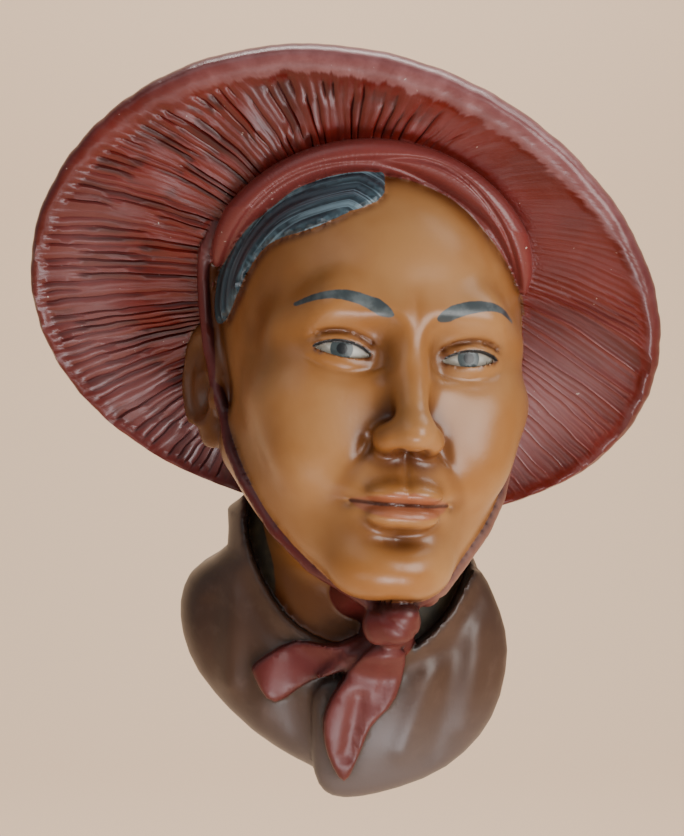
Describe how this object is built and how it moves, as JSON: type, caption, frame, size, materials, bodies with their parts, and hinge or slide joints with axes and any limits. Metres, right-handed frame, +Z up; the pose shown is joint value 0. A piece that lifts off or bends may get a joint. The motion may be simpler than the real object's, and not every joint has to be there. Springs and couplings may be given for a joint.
{
  "type": "head wall hanging",
  "caption": "Painted plaster wall hanging: a calm head in a wide ribbed hat with a knotted chin strap, on a small robed bust with a flat back.",
  "frame": {"origin": "on the flat back, where the wall is, behind the middle of the hat's crown", "axes": "+Y out of the back into the wall, -Y the way the face looks, +Z up, +X to the viewer's right"},
  "size_m": [0.1572, 0.0849, 0.1832],
  "materials": {
    "painted_plaster": "satin paint over cast plaster: dark red hat and strap, tan skin, blue-black hair, brown robe"
  },
  "bodies": {
    "root": {"plaster_casting": "painted_plaster"}
  },
  "joints": []
}
